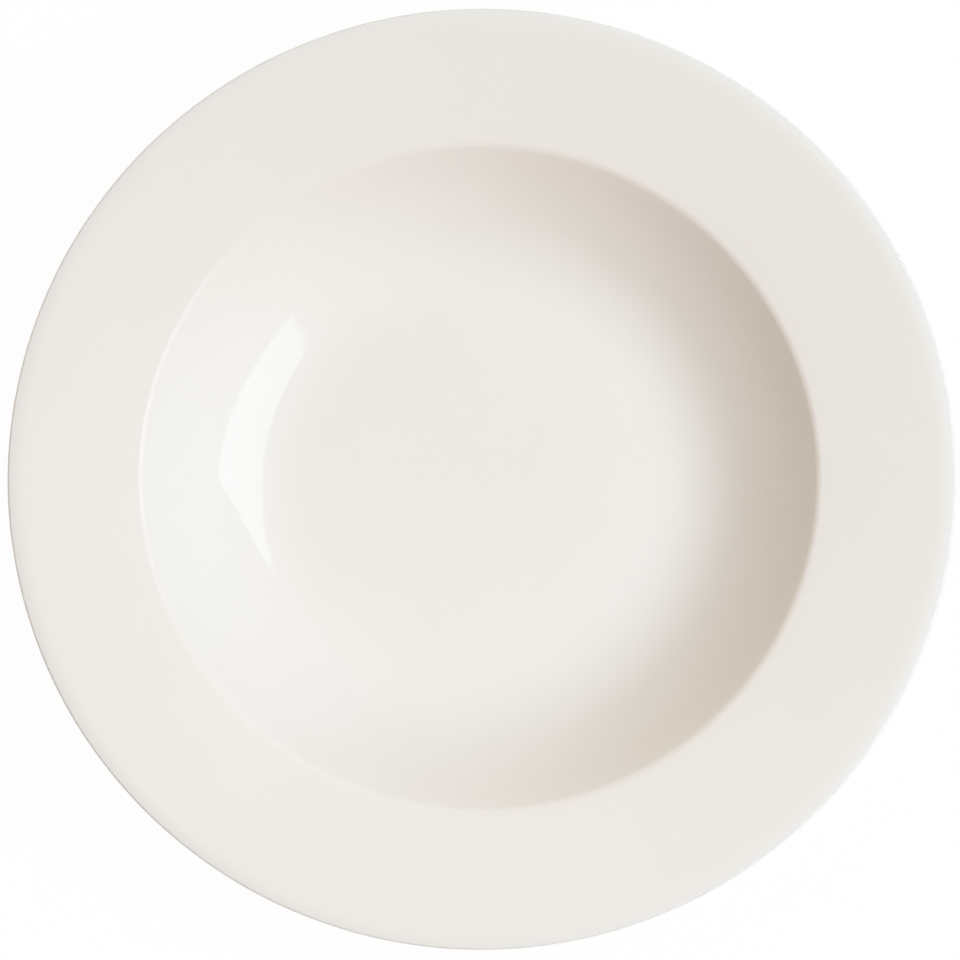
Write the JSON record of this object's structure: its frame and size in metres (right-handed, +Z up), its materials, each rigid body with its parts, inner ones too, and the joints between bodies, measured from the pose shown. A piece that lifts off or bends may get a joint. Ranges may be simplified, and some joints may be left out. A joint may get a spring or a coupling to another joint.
{
  "type": "rimmed soup plate",
  "caption": "Round white glazed soup plate with a wide shallow rim, a deep well with sloping walls and a foot ring under the base.",
  "frame": {"origin": "centre of the plane that the foot ring stands on", "axes": "+Z up along the axis of the plate, from the table towards the open well; +X and +Y in the table's plane, alike all round"},
  "size_m": [0.24, 0.24, 0.0334],
  "materials": {
    "fired_clay": "matte",
    "white_glaze": "gloss",
    "base_white_glaze": "gloss"
  },
  "bodies": {
    "root": {"clay_body": "fired_clay", "glaze_coat": "white_glaze", "base_glaze": "base_white_glaze"}
  },
  "joints": []
}
